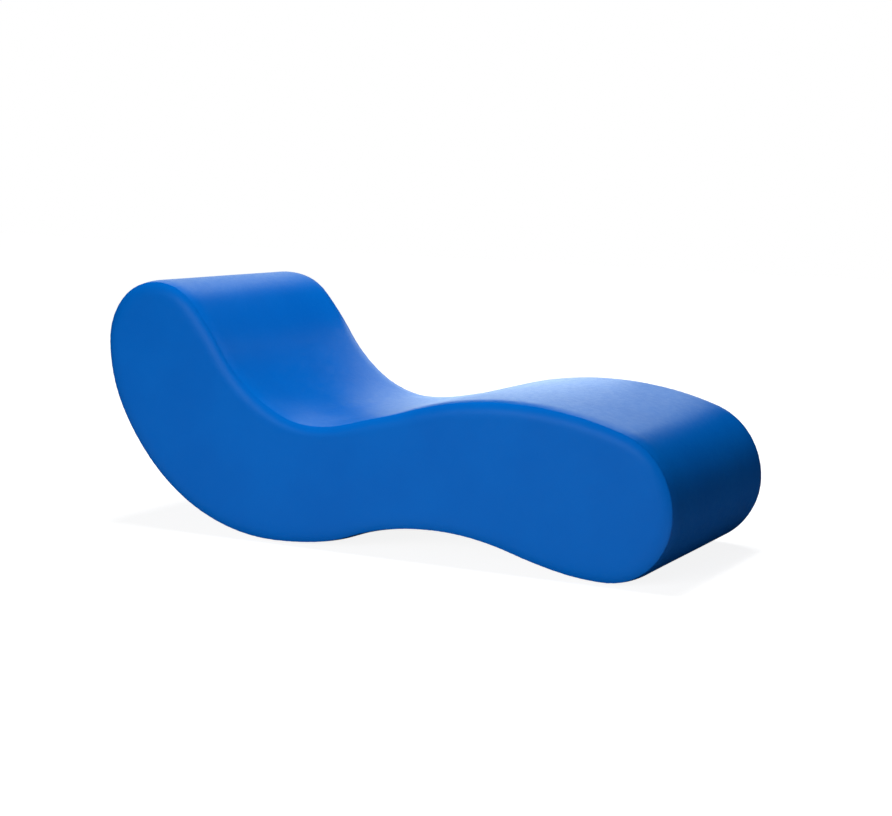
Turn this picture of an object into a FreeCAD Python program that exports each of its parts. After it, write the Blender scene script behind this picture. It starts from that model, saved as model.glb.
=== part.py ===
import FreeCAD, Part
import math
import os

# A wave-shaped relaxation lounger, covered all over.
# The body lies along X with its head end at -X and its foot end at +X, Y runs
# across it, and Z is up from the floor. The origin is on the floor, midway
# along the body and midway across it. All lengths are millimetres.

# Driving sizes of the whole body
body_width = 715.0
edge_radius = 15.0
glide_height = 4.0

# Side outline of the covered body.
# Fourteen stations round it, each with its place along the body, its height
# over the underside, and the direction in which the outline travels there,
# in degrees, counter-clockwise seen from the side at -Y.
head_top_x = -654.0
head_top_z = 653.0
head_back_x = -801.0
head_back_z = 492.0
head_slope_x = -642.0
head_slope_z = 151.0
head_slope_direction = 315.0
head_base_x = -281.0
head_base_z = 0.0
arch_start_x = -54.0
arch_start_z = 35.0
arch_start_direction = 21.0
arch_crown_x = 180.0
arch_crown_z = 75.0
arch_end_x = 388.0
arch_end_z = 43.0
arch_end_direction = 343.0
foot_base_x = 633.0
foot_base_z = 0.0
foot_end_x = 801.0
foot_end_z = 175.0
foot_brow_x = 669.0
foot_brow_z = 366.0
foot_brow_direction = 161.0
knee_x = 366.0
knee_z = 415.0
thigh_x = 90.0
thigh_z = 372.0
thigh_direction = 198.0
seat_x = -195.0
seat_z = 326.0
back_x = -449.0
back_z = 487.0
back_direction = 123.0
level_back = 180.0
level_forward = 0.0
straight_down = 270.0
straight_up = 90.0

# An arc that turns less than this is drawn straight
least_turn = math.radians(0.3)

# Depth from the outside of the cover down to the wooden frame's skin
lying_depth = 50.0
end_depth = 34.0
slope_depth = 20.0
base_depth = 14.0
side_foam_thickness = 30.0

# Sheet and board sizes
cover_thickness = 2.0
deck_thickness = 5.0
rib_thickness = 18.0
rail_width = 45.0
rail_depth = 28.0

# Clearances: a curved face lies this far from the one it is glued or
# stretched over, a notch is this much wider than its rail on each side, and
# a hole is this much larger than its screw all round.
seating_gap = 0.3
notch_clearance = 0.3
screw_clearance = 0.1

# Round windows that lighten the ribs: place along, height over the
# underside, and radius
head_window_x = -650.0
head_window_z = 470.0
back_window_x = -520.0
back_window_z = 290.0
loin_window_x = -330.0
loin_window_z = 180.0
seat_window_x = -125.0
seat_window_z = 172.0
thigh_window_x = 65.0
thigh_window_z = 205.0
knee_window_x = 270.0
knee_window_z = 235.0
calf_window_x = 470.0
calf_window_z = 215.0
foot_window_x = 650.0
foot_window_z = 185.0
large_window_radius = 62.0
small_window_radius = 48.0

# Floor glides
glide_side_inset = 110.0
glide_flange_radius = 25.0
glide_stem_radius = 12.0
glide_edge_round = 1.0
glide_hole_clearance = 0.5
glide_screw_recess = 2.0

# Screws: shank radius, length under the head, head radius and head depth
rail_screw_shank_radius = 2.25
rail_screw_length = 45.0
rail_screw_head_radius = 4.5
rail_screw_head_depth = 3.0
rail_screw_offset = 9.0
deck_screw_shank_radius = 1.75
deck_screw_length = 24.0
deck_screw_head_radius = 3.5
deck_screw_head_depth = 2.5
glide_screw_shank_radius = 2.5
glide_screw_length = 40.0
glide_screw_head_radius = 5.0
glide_screw_head_depth = 3.0

# Across the frame, the deck screws stand at these shares of its half width,
# and this far to one side or the other of the rail's middle line. The two
# decks meet on the rails of two stations.
deck_screw_shares = (-0.62, -0.28, 0.28, 0.62)
deck_screw_stagger = 11.0
deck_joints = ("head_back", "foot_end")

# A cut or a blank runs this far past the faces it must clear
overrun = 20.0

# A cut that takes away less than this volume has failed, and the hole is then
# turned on its own axis to the next of these angles, in degrees
least_cut = 1.0
seam_turns = (45.0, 20.0, 70.0, 5.0, 85.0)

# Sizes that follow from the ones above
half_width = body_width / 2
frame_half_width = half_width - cover_thickness - seating_gap - side_foam_thickness
seam_half_width = half_width - edge_radius
foam_inset = cover_thickness + seating_gap
rib_inset = deck_thickness + seating_gap

# The stations in order round the body: name, place along, height over the
# underside, direction of travel, depth of foam and cover there
stations = (
    ("head_top", head_top_x, head_top_z, level_back, lying_depth),
    ("head_back", head_back_x, head_back_z, straight_down, end_depth),
    ("head_slope", head_slope_x, head_slope_z, head_slope_direction, slope_depth),
    ("head_base", head_base_x, head_base_z, level_forward, base_depth),
    ("arch_start", arch_start_x, arch_start_z, arch_start_direction, base_depth),
    ("arch_crown", arch_crown_x, arch_crown_z, level_forward, base_depth),
    ("arch_end", arch_end_x, arch_end_z, arch_end_direction, base_depth),
    ("foot_base", foot_base_x, foot_base_z, level_forward, base_depth),
    ("foot_end", foot_end_x, foot_end_z, straight_up, end_depth),
    ("foot_brow", foot_brow_x, foot_brow_z, foot_brow_direction, lying_depth),
    ("knee", knee_x, knee_z, level_back, lying_depth),
    ("thigh", thigh_x, thigh_z, thigh_direction, lying_depth),
    ("seat", seat_x, seat_z, level_back, lying_depth),
    ("back", back_x, back_z, back_direction, lying_depth),
)
station_names = [station[0] for station in stations]

# The ribs' windows: place along, height over the underside, radius
windows = (
    (head_window_x, head_window_z, large_window_radius),
    (back_window_x, back_window_z, large_window_radius),
    (loin_window_x, loin_window_z, large_window_radius),
    (seat_window_x, seat_window_z, small_window_radius),
    (thigh_window_x, thigh_window_z, small_window_radius),
    (knee_window_x, knee_window_z, large_window_radius),
    (calf_window_x, calf_window_z, large_window_radius),
    (foot_window_x, foot_window_z, large_window_radius),
)


# Outlines: chains of arcs that run into one another without a corner

def direction_vector(degrees):
    """The unit vector in the XZ plane that points in this direction."""
    return FreeCAD.Vector(math.cos(math.radians(degrees)), 0, math.sin(math.radians(degrees)))


def inward_vector(degrees):
    """The unit vector into the body, a quarter turn left of the travel direction."""
    return direction_vector(degrees + straight_up)


def arc_from(start, tangent, end):
    """The arc that leaves start along tangent and reaches end, as a dictionary.

    Its turn is twice the angle between the tangent and the chord, and its
    signed radius is half the chord over the sine of half the turn, positive
    where it turns left.
    """
    chord = end - start
    chord_angle = math.atan2(chord.z, chord.x)
    start_angle = math.atan2(tangent.z, tangent.x)
    half_turn = math.remainder(chord_angle - start_angle, math.tau)
    radius = chord.Length / 2 / math.sin(half_turn)
    left = FreeCAD.Vector(-tangent.z, 0, tangent.x)
    centre = start + left * radius
    return {"centre": centre, "radius": radius, "start_angle": start_angle, "turn": 2 * half_turn}


def point_on(arc, share, inset):
    """The point at this share of the arc, moved into the body by inset."""
    heading = arc["start_angle"] + arc["turn"] * share
    left = FreeCAD.Vector(-math.sin(heading), 0, math.cos(heading))
    return arc["centre"] - left * (arc["radius"] - inset)


def arcs_between(start, start_direction, end, end_direction):
    """Two arcs with one shared tangent, from start to end, along both directions.

    They meet midway between two points, each the same distance along the
    tangent from its own end. That distance solves a quadratic.
    """
    first_tangent = direction_vector(start_direction)
    last_tangent = direction_vector(end_direction)
    chord = end - start
    both = first_tangent + last_tangent
    square_term = 2 * (1 - first_tangent.dot(last_tangent))
    line_term = chord.dot(both)
    root = math.sqrt(line_term ** 2 + square_term * chord.dot(chord))
    reach = (root - line_term) / square_term
    joint = (start + first_tangent * reach + end - last_tangent * reach) / 2
    first_arc = arc_from(start, first_tangent, joint)
    joint_heading = first_arc["start_angle"] + first_arc["turn"]
    joint_tangent = FreeCAD.Vector(math.cos(joint_heading), 0, math.sin(joint_heading))
    return [first_arc, arc_from(joint, joint_tangent, end)]


def outline_arcs(with_frame_depth):
    """The arcs of the covered body, or of the frame's skin, by station name.

    Each name holds the two arcs that run from its station to the next.
    """
    points = []
    for name, along, height, direction, depth in stations:
        point = FreeCAD.Vector(along, 0, height + glide_height)
        if with_frame_depth:
            point = point + inward_vector(direction) * depth
        points.append((name, point, direction))
    arcs = {}
    for here, there in zip(points, points[1:] + points[:1]):
        arcs[here[0]] = arcs_between(here[1], here[2], there[1], there[2])
    return arcs


body_arcs = outline_arcs(False)
frame_arcs = outline_arcs(True)


def names_between(first_name, last_name):
    """The stations from the first up to, not including, the last, going round."""
    first = station_names.index(first_name)
    order = station_names[first:] + station_names[:first]
    count = order.index(last_name) if last_name != first_name else len(order)
    return order[:count]


def curve_edges(arcs, names, inset):
    """Edges along the arcs of these stations, moved into the body by inset.

    An arc that hardly turns is drawn as a straight line.
    """
    edges = []
    for name in names:
        for arc in arcs[name]:
            start, middle, end = [point_on(arc, share, inset) for share in (0, 0.5, 1)]
            if abs(arc["turn"]) < least_turn:
                edges.append(Part.makeLine(start, end))
            else:
                edges.append(Part.Arc(start, middle, end).toShape())
    return edges


def prism(face, low, high):
    """The face of the XZ plane as a solid from Y = low to Y = high."""
    moved = face.translated(FreeCAD.Vector(0, low, 0))
    return moved.extrude(FreeCAD.Vector(0, high - low, 0))


def closed_face(arcs, inset):
    """The whole area inside one closed outline."""
    return Part.Face(Part.Wire(curve_edges(arcs, station_names, inset)))


def band(outer, outer_inset, inner, inner_inset, first_name, last_name):
    """The strip between two outlines, cut square to them at two stations."""
    names = names_between(first_name, last_name)
    outside = curve_edges(outer, names, outer_inset)
    inside = curve_edges(inner, names, inner_inset)
    outside_start = point_on(outer[names[0]][0], 0, outer_inset)
    inside_start = point_on(inner[names[0]][0], 0, inner_inset)
    outside_end = point_on(outer[names[-1]][1], 1, outer_inset)
    inside_end = point_on(inner[names[-1]][1], 1, inner_inset)
    first_cut = Part.makeLine(outside_start, inside_start)
    last_cut = Part.makeLine(outside_end, inside_end)
    edges = Part.__sortEdges__(outside + [last_cut] + inside + [first_cut])
    return Part.Face(Part.Wire(edges))


def mirrored(shape):
    """The same shape on the other side of the body."""
    return shape.mirror(FreeCAD.Vector(0, 0, 0), FreeCAD.Vector(0, 1, 0))


# Frame: ribs, rails and their screws

def station_place(name):
    """The frame's skin at a station: the point, and its travel and inward directions."""
    direction = stations[station_names.index(name)][3]
    return point_on(frame_arcs[name][0], 0, 0), direction_vector(direction), inward_vector(direction)


def station_box(name, width, depth):
    """A box across the whole frame at a station, from outside its skin down to depth.

    Depth is measured from the outer edge of the ribs.
    """
    point, along, inward = station_place(name)
    corners = []
    for side, level in ((-1, -overrun), (1, -overrun), (1, rib_inset + depth), (-1, rib_inset + depth)):
        corners.append(point + along * (side * width / 2) + inward * level)
    face = Part.Face(Part.makePolygon(corners + corners[:1]))
    return prism(face, -frame_half_width, frame_half_width)


def screw(shank_radius, length, head_radius, head_depth):
    """A countersunk screw along +Z, with the flat of its head at the origin."""
    head = Part.makeCone(head_radius, shank_radius, head_depth)
    shank = Part.makeCylinder(shank_radius, length - head_depth, FreeCAD.Vector(0, 0, head_depth))
    return head.fuse(shank)


def screw_hole(shank_radius, length, head_radius, head_depth):
    """The hole for the same screw, larger all round, and open past its head."""
    wide_radius = head_radius + screw_clearance
    hole = screw(shank_radius + screw_clearance, length + screw_clearance, wide_radius, head_depth)
    mouth = Part.makeCylinder(wide_radius, overrun, FreeCAD.Vector(0, 0, -overrun))
    return hole.fuse(mouth).removeSplitter()


def set_along(shape, point, axis, turn=0.0):
    """A copy of the shape with its origin at point and its +Z along axis.

    It can also be turned on its own axis, by this many degrees.
    """
    up = FreeCAD.Vector(0, 0, 1)
    copy = shape.copy()
    rotation = FreeCAD.Rotation(up, axis).multiply(FreeCAD.Rotation(up, turn))
    copy.Placement = FreeCAD.Placement(point, rotation)
    return copy


def drilled(shape, hole, places):
    """The shape with this hole cut out at every place that reaches it.

    Where a hole's seam line meets an edge the cut can leave the shape whole,
    so the hole is then turned on its own axis and cut again.
    """
    for point, axis in places:
        for turn in seam_turns:
            cutter = set_along(hole, point, axis, turn)
            if not cutter.BoundBox.intersect(shape.BoundBox):
                break
            smaller = shape.cut(cutter)
            if smaller.Volume < shape.Volume - least_cut:
                shape = smaller
                break
    return shape


rib_centres = {
    "right_rib": -frame_half_width + rib_thickness / 2,
    "centre_rib": 0.0,
    "left_rib": frame_half_width - rib_thickness / 2,
}
rail_screw_sizes = (
    rail_screw_shank_radius,
    rail_screw_length,
    rail_screw_head_radius,
    rail_screw_head_depth,
)
deck_screw_sizes = (
    deck_screw_shank_radius,
    deck_screw_length,
    deck_screw_head_radius,
    deck_screw_head_depth,
)
glide_screw_sizes = (
    glide_screw_shank_radius,
    glide_screw_length,
    glide_screw_head_radius,
    glide_screw_head_depth,
)


def skin_place(name, offset):
    """The frame's skin this far past a station, or before it: the point and the way in."""
    if offset > 0:
        arc = frame_arcs[name][0]
        share = offset / abs(arc["radius"] * arc["turn"])
    else:
        arc = frame_arcs[station_names[station_names.index(name) - 1]][1]
        share = 1 + offset / abs(arc["radius"] * arc["turn"])
    heading = math.degrees(arc["start_angle"] + arc["turn"] * share)
    return point_on(arc, share, 0), inward_vector(heading)


def rail_screw_places(names, centres):
    """One screw through each rail into each rib, head flush with the rail's outside."""
    places = []
    for name in names:
        point, inward = skin_place(name, rail_screw_offset)
        for across in centres:
            places.append((point + inward * rib_inset + FreeCAD.Vector(0, across, 0), inward))
    return places


def deck_screw_places(names):
    """Screws through the decks into these rails, heads flush with the deck's outside.

    They zigzag along each rail. Where two decks meet on a rail, each gets its own row.
    """
    places = []
    for name in names:
        for count, share in enumerate(deck_screw_shares):
            sides = (-1, 1) if name in deck_joints else ((-1) ** count,)
            for side in sides:
                point, inward = skin_place(name, side * deck_screw_stagger)
                places.append((point + FreeCAD.Vector(0, frame_half_width * share, 0), inward))
    return places


def set_of(shape, places):
    """The shape copied to every place, as one group of separate solids."""
    return Part.Compound([set_along(shape, point, axis) for point, axis in places])


# Floor glides

glide_across = half_width - glide_side_inset
glide_places = {
    "head_right_glide": (head_base_x, -glide_across),
    "head_left_glide": (head_base_x, glide_across),
    "foot_right_glide": (foot_base_x, -glide_across),
    "foot_left_glide": (foot_base_x, glide_across),
}


def glide(along, across):
    """A turned glide: a flat flange under the cover and a stem up to the deck."""
    flange = Part.makeCylinder(glide_flange_radius, glide_height - seating_gap)
    rims = [edge for edge in flange.Edges if edge.Length > glide_flange_radius]
    flange = flange.makeFillet(glide_edge_round, rims)
    stem = Part.makeCylinder(glide_stem_radius, glide_height + base_depth - seating_gap)
    hole = screw_hole(*glide_screw_sizes).translated(FreeCAD.Vector(0, 0, glide_screw_recess))
    solid = flange.fuse(stem).removeSplitter().cut(hole)
    return solid.translated(FreeCAD.Vector(along, across, 0))


def glide_screw_places():
    """One screw up the middle of each glide."""
    up = FreeCAD.Vector(0, 0, 1)
    feet = [FreeCAD.Vector(along, across, glide_screw_recess) for along, across in glide_places.values()]
    return [(foot, up) for foot in feet]


def opened_for_stems(shape):
    """A cover or foam shape with the openings for the glides' stems."""
    opening_height = glide_height + base_depth + overrun
    opening = Part.makeCylinder(glide_stem_radius + glide_hole_clearance, opening_height)
    up = FreeCAD.Vector(0, 0, 1)
    places = [(FreeCAD.Vector(along, across, 0), up) for along, across in glide_places.values()]
    return drilled(shape, opening, places)


parts = {}

rail_screws = set_of(screw(*rail_screw_sizes), rail_screw_places(station_names, rib_centres.values()))
deck_screws = set_of(screw(*deck_screw_sizes), deck_screw_places(station_names))
glide_screws = set_of(screw(*glide_screw_sizes), glide_screw_places())
rail_screw_hole = screw_hole(*rail_screw_sizes)
deck_screw_hole = screw_hole(*deck_screw_sizes)
glide_screw_hole = screw_hole(*glide_screw_sizes)

rib_face = closed_face(frame_arcs, rib_inset)
frame_block = prism(rib_face, -frame_half_width, frame_half_width)


def rib(centre):
    """One plywood rib, notched for every rail and lightened by round windows."""
    blank = prism(rib_face, centre - rib_thickness / 2, centre + rib_thickness / 2)
    cuts = [station_box(name, rail_width + 2 * notch_clearance, rail_depth) for name in station_names]
    for along, height, radius in windows:
        middle = FreeCAD.Vector(along, -frame_half_width, height + glide_height)
        cuts.append(Part.makeCylinder(radius, 2 * frame_half_width, middle, FreeCAD.Vector(0, 1, 0)))
    blank = blank.cut(Part.Compound(cuts))
    return drilled(blank, rail_screw_hole, rail_screw_places(station_names, [centre]))


def rail(name):
    """One rail across the ribs, its outer face shaped to the skin it carries."""
    blank = frame_block.common(station_box(name, rail_width, rail_depth))
    blank = drilled(blank, rail_screw_hole, rail_screw_places([name], rib_centres.values()))
    blank = drilled(blank, deck_screw_hole, deck_screw_places([name]))
    return drilled(blank, glide_screw_hole, glide_screw_places())


for name, centre in rib_centres.items():
    parts[name] = rib(centre)
for name in station_names:
    parts[name + "_rail"] = rail(name)
parts["rail_screws"] = rail_screws


# Bent plywood decks over the rails

def deck(first_name, last_name):
    """One bent sheet on the rails between two stations, drilled for its screws."""
    face = band(frame_arcs, 0, frame_arcs, deck_thickness, first_name, last_name)
    sheet = prism(face, -frame_half_width, frame_half_width)
    names = names_between(first_name, last_name) + [last_name]
    sheet = drilled(sheet, deck_screw_hole, deck_screw_places(names))
    return drilled(sheet, glide_screw_hole, glide_screw_places())


head_joint, foot_joint = deck_joints
parts["lying_deck"] = deck(foot_joint, head_joint)
parts["base_deck"] = deck(head_joint, foot_joint)
parts["deck_screws"] = deck_screws


# Foam

def foam_block(first_name, last_name):
    """One foam block glued to the deck between two stations."""
    face = band(body_arcs, foam_inset, frame_arcs, -seating_gap, first_name, last_name)
    return prism(face, -frame_half_width, frame_half_width)


def side_foam():
    """The foam plate on the left side, its outer edge rounded for the cover."""
    face = closed_face(body_arcs, foam_inset)
    outside = half_width - foam_inset
    plate = prism(face, frame_half_width, outside)
    rims = [edge for edge in plate.Edges if edge.BoundBox.YMin > outside - seating_gap]
    return plate.makeFillet(edge_radius - foam_inset, rims)


parts["head_roll_foam"] = foam_block("head_top", "head_slope")
parts["base_foam"] = opened_for_stems(foam_block("head_slope", "foot_base"))
parts["foot_roll_foam"] = opened_for_stems(foam_block("foot_base", "foot_brow"))
parts["leg_foam"] = foam_block("foot_brow", "thigh")
parts["seat_foam"] = foam_block("thigh", "back")
parts["back_foam"] = foam_block("back", "head_top")
parts["left_side_foam"] = side_foam()
parts["right_side_foam"] = mirrored(parts["left_side_foam"])


# Cover: a lying panel and a base panel between two side panels

def cover_panel(first_name, last_name):
    """One strip of the cover between the two side seams."""
    face = band(body_arcs, 0, body_arcs, cover_thickness, first_name, last_name)
    return prism(face, -seam_half_width, seam_half_width)


def rounded_slab(inset, low, high):
    """The body's whole outline as a slab whose edge at high is rounded."""
    slab = prism(closed_face(body_arcs, inset), low, high)
    rims = [edge for edge in slab.Edges if edge.BoundBox.YMin > high - seating_gap]
    return slab.makeFillet(edge_radius - inset, rims)


def side_cover():
    """The left side panel: a flat sheet that turns over the edge to the seam."""
    outside = rounded_slab(0, seam_half_width - overrun, half_width)
    inside = rounded_slab(cover_thickness, seam_half_width - 2 * overrun, half_width - cover_thickness)
    shell = outside.cut(inside)
    reach = foot_end_x - head_back_x
    corner = FreeCAD.Vector(-reach, seam_half_width, -reach)
    return shell.common(Part.makeBox(2 * reach, overrun + edge_radius, 2 * reach, corner))


parts["lying_cover"] = opened_for_stems(cover_panel("arch_end", "arch_start"))
parts["base_cover"] = cover_panel("arch_start", "arch_end")
parts["left_side_cover"] = side_cover()
parts["right_side_cover"] = mirrored(parts["left_side_cover"])


# Glides under the two low points of the base

for name, (along, across) in glide_places.items():
    parts[name] = glide(along, across)
parts["glide_screws"] = glide_screws


os.makedirs("parts", exist_ok=True)
for name, shape in parts.items():
    shape.exportStep("parts/" + name + ".step")
    solids = len(shape.Solids)
    print(name, "solids", solids, "valid", shape.isValid(), "volume", round(shape.Volume))
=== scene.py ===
# %% [markdown]
# # A wave-shaped relaxation lounger
# The real lounger is a plywood frame with foam glued over it, and a cover of
# blue leatherette sewn from four panels: one long panel to lie on that also
# wraps round both ends, a short one under the arch, and two flat side panels.
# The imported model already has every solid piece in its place. This lesson
# dresses it: soft panels and foam in place of the plain solids, materials for
# wood, metal and plastic, a floor, lamps and a camera.

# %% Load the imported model
import math
import bpy
import numpy as np
from mathutils import Matrix


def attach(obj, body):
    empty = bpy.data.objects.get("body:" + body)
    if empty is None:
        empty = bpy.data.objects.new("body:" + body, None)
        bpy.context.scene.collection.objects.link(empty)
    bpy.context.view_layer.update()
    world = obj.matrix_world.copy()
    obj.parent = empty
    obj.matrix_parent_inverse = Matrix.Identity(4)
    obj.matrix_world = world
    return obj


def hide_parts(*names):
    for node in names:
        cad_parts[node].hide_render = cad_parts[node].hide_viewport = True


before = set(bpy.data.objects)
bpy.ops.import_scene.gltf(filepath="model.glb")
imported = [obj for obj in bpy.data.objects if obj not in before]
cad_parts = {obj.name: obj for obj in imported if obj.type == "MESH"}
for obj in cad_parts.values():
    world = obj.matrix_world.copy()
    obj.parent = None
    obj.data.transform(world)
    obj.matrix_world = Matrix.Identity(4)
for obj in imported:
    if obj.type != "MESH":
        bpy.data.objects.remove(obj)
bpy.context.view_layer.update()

# %% [markdown]
# ## The camera
# The picture looks at the lounger from its right side and a little from the
# foot end, from just over the height of the backrest. A camera object could be
# aimed with a constraint, but a matrix built from three angles says exactly
# where it looks: yaw about the vertical, then pitch, then a small roll. The
# lens length is the focal length in picture widths times the sensor's width.

# %% Camera
picture_width = 892
focal_pixels = 1905.2
camera_yaw = -25.949
camera_pitch = -7.216
camera_roll = 1.729
camera_place = (2.2235, -4.5019, 0.9755)


def camera_axes(yaw, pitch, roll):
    """Right, up and backward of a camera, for three angles in degrees.

    Forward is along +Y turned by yaw and raised by pitch. Right is level,
    up is right cross forward, and both then turn by roll about forward.
    """
    yaw, pitch, roll = np.radians([yaw, pitch, roll])
    forward = np.array([np.sin(yaw) * np.cos(pitch), np.cos(yaw) * np.cos(pitch), np.sin(pitch)])
    level = np.array([np.cos(yaw), -np.sin(yaw), 0.0])
    upright = np.cross(level, forward)
    right = level * np.cos(roll) + upright * np.sin(roll)
    up = upright * np.cos(roll) - level * np.sin(roll)
    return right, up, -forward


camera_data = bpy.data.cameras.new("camera")
camera_data.sensor_fit = "HORIZONTAL"
camera_data.sensor_width = 36
camera_data.lens = camera_data.sensor_width * focal_pixels / picture_width
camera_data.clip_end = 100
camera = bpy.data.objects.new("camera", camera_data)
bpy.context.scene.collection.objects.link(camera)
axes = np.eye(4)
axes[:3, :3] = np.column_stack(camera_axes(camera_yaw, camera_pitch, camera_roll))
axes[:3, 3] = camera_place
camera.matrix_world = Matrix(axes.tolist())
bpy.context.scene.camera = camera
print("lens", round(camera_data.lens, 2), "mm")

# %% [markdown]
# ## The side outline
# Seen from the side the lounger is one closed wave. A drawing could be traced
# point by point, but then nobody could change it. Fourteen stations fix it here,
# each with a place along the body, a height, the direction in which the outline
# travels there, and the depth from the cover down to the wooden frame's skin.

# %% Stations of the outline
millimetre = 0.001
glide_height = 4 * millimetre
stations = {
    "head_top": (-654, 653, 180, 50),
    "head_back": (-801, 492, 270, 34),
    "head_slope": (-642, 151, 315, 20),
    "head_base": (-281, 0, 0, 14),
    "arch_start": (-54, 35, 21, 14),
    "arch_crown": (180, 75, 0, 14),
    "arch_end": (388, 43, 343, 14),
    "foot_base": (633, 0, 0, 14),
    "foot_end": (801, 175, 90, 34),
    "foot_brow": (669, 366, 161, 50),
    "knee": (366, 415, 180, 50),
    "thigh": (90, 372, 198, 50),
    "seat": (-195, 326, 180, 50),
    "back": (-449, 487, 123, 50),
}
print("stations", list(stations))

# %% [markdown]
# A Bezier curve with handles could run through the stations, but its curvature
# is hard to foresee. Two arcs that share a tangent join each station to the next
# instead, as a maker would set them out with a beam compass. The same stations,
# moved inward by their depths, give the skin of the frame.

# %% Arcs between the stations
arc_points = 200


def arc_samples(start, tangent, end):
    """Points of the arc that leaves start along tangent and reaches end.

    With h half the turn, which is the angle from tangent to chord, the point
    at share t lies at the chord's length times sin(h t) / sin(h) from start,
    turned by h t from the tangent. Also returns the tangent at the end.
    """
    chord = end - start
    first = np.arctan2(tangent[1], tangent[0])
    half_turn = np.arctan2(chord[1], chord[0]) - first
    half_turn = np.arctan2(np.sin(half_turn), np.cos(half_turn))
    share = np.arange(arc_points) / arc_points
    reach = np.hypot(*chord) * np.sin(half_turn * share) / np.sin(half_turn)
    angle = first + half_turn * share
    points = start + np.column_stack([np.cos(angle), np.sin(angle)]) * reach[:, None]
    last = first + 2 * half_turn
    return points, np.array([np.cos(last), np.sin(last)])


def two_arcs(start, start_tangent, end, end_tangent):
    """Samples of two arcs with one shared tangent.

    They meet midway between two points that lie the same distance along the
    tangents from the two ends. That distance solves a quadratic.
    """
    chord = end - start
    square_term = 2 * (1 - start_tangent @ end_tangent)
    line_term = chord @ (start_tangent + end_tangent)
    root = np.sqrt(line_term ** 2 + square_term * (chord @ chord))
    reach = (root - line_term) / square_term
    joint = (start + start_tangent * reach + end - end_tangent * reach) / 2
    first, joint_tangent = arc_samples(start, start_tangent, joint)
    second, _ = arc_samples(joint, joint_tangent, end)
    return np.concatenate([first, second])


def raw_outline(depth_share):
    """The closed chain of arcs, moved into the body by this share of each depth."""
    table = np.array(list(stations.values()), dtype=float)
    turn = np.radians(table[:, 2])
    tangents = np.column_stack([np.cos(turn), np.sin(turn)])
    inward = np.column_stack([-np.sin(turn), np.cos(turn)])
    places = table[:, :2] * millimetre + np.array([0, glide_height])
    places = places + inward * table[:, 3:] * millimetre * depth_share
    after = np.roll(np.arange(len(table)), -1)
    legs = [two_arcs(places[i], tangents[i], places[j], tangents[j]) for i, j in enumerate(after)]
    return np.concatenate(legs)


raw_body = raw_outline(0)
raw_skin = raw_outline(1)
print("outline samples", len(raw_body), "low", raw_body.min(0), "high", raw_body.max(0))

# %% [markdown]
# Arcs share tangents where they meet, but the curvature jumps there, and satin
# leatherette shows such a jump as a kink in its highlight. Foam and a tight
# cover even it out on the real piece. A subdivision surface would do that too,
# at the price of drifting off the outline. A soft filter does it in place: a
# Gaussian blur G applied as 2G - GG, which smooths but keeps broad shape.

# %% Even, smooth outlines
outline_samples = 4096
smoothing = 15 * millimetre


def arc_lengths(points):
    """Distance along the closed chain to each point, and then all the way round."""
    steps = np.roll(points, -1, axis=0) - points
    return np.concatenate([[0.0], np.cumsum(np.hypot(*steps.T))])


def smooth_outline(points):
    """The chain sampled at equal steps, with its waves shorter than the blur damped.

    A wave of number k keeps g (2 - g) of its height, with g = exp(-(k s)^2 / 2).
    """
    along = arc_lengths(points)
    even = np.arange(outline_samples) / outline_samples * along[-1]
    closed = np.concatenate([points, points[:1]])
    sampled = np.column_stack([np.interp(even, along, closed[:, axis]) for axis in (0, 1)])
    wave = 2 * np.pi * np.fft.rfftfreq(outline_samples, along[-1] / outline_samples)
    gain = np.exp(-(wave * smoothing) ** 2 / 2)
    spectrum = np.fft.rfft(sampled, axis=0) * (gain * (2 - gain))[:, None]
    return np.fft.irfft(spectrum, outline_samples, axis=0)


body_outline = smooth_outline(raw_body)
skin_outline = smooth_outline(raw_skin)
body_lengths = arc_lengths(raw_body)
skin_lengths = arc_lengths(raw_skin)
perimeter = body_lengths[-1]
station_index = {name: 2 * arc_points * i for i, name in enumerate(stations)}
body_share = {name: body_lengths[i] / body_lengths[-1] for name, i in station_index.items()}
skin_share = {name: skin_lengths[i] / skin_lengths[-1] for name, i in station_index.items()}
print("once round", round(perimeter, 3), "m")


def at_shares(outline, shares):
    """Points of a closed outline, and its outward unit normals, at shares of its length.

    The outward normal is the travel direction turned right by a quarter.
    """
    closed = np.concatenate([outline, outline[:1]])
    grid = np.arange(outline_samples + 1) / outline_samples
    travel = np.roll(outline, -1, axis=0) - np.roll(outline, 1, axis=0)
    travel = travel / np.hypot(*travel.T)[:, None]
    travel = np.concatenate([travel, travel[:1]])
    around = np.mod(shares, 1.0)
    points = np.stack([np.interp(around, grid, closed[:, axis]) for axis in (0, 1)], axis=-1)
    ahead = np.stack([np.interp(around, grid, travel[:, axis]) for axis in (0, 1)], axis=-1)
    normals = np.stack([ahead[..., 1], -ahead[..., 0]], axis=-1)
    return points, normals / np.hypot(normals[..., 0], normals[..., 1])[..., None]


# %% [markdown]
# ## Meshes from arrays
# Every soft piece here is a closed body whose points come from a formula. bmesh
# could add them one by one, which takes Python a long time. foreach_set hands
# whole arrays to Blender at once. The sign of the enclosed volume tells whether
# the faces point outward, so their order is known to be right.

# %% A closed mesh from arrays
body_root = "root"
crease_angle = 50


def signed_volume(points, faces):
    """A sixth of the sum of the triple products of the triangles that fan out each face."""
    corner = points[faces]
    total = 0.0
    for last in range(2, faces.shape[1]):
        across = np.cross(corner[:, last - 1] - corner[:, 0], corner[:, last] - corner[:, 0])
        total += np.sum(corner[:, 0] * across) / 6
    return total


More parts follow.
